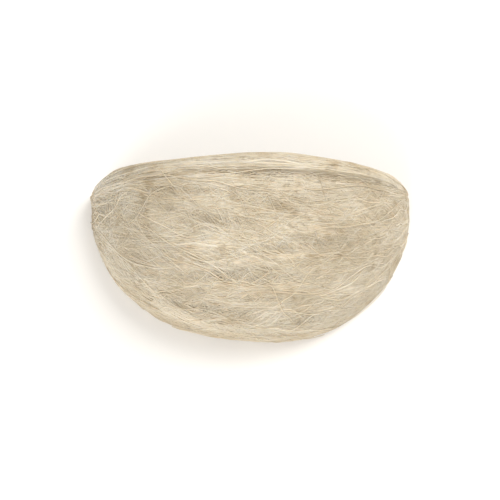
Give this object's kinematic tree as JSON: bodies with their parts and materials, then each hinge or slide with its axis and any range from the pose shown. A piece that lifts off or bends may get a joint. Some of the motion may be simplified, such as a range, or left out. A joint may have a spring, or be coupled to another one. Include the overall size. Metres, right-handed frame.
{
  "type": "edible bird's nest",
  "caption": "Half-cup of dried strands with a rolled rim, thick feet at both ends and a flat scraped side it lies on.",
  "frame": {"origin": "middle of the outline on the flat side that was scraped off the wall, which is the side it lies on", "axes": "+X from the left foot to the right foot, +Y out of the cup's open mouth, +Z from the flat side to the crown of the belly"},
  "size_m": [0.0852, 0.0444, 0.0325],
  "materials": {
    "dried_strands": "dried swiftlet saliva: ivory strands with a soft satin shine, slightly see-through where thin"
  },
  "bodies": {
    "root": {"nest": "dried_strands"}
  },
  "joints": []
}
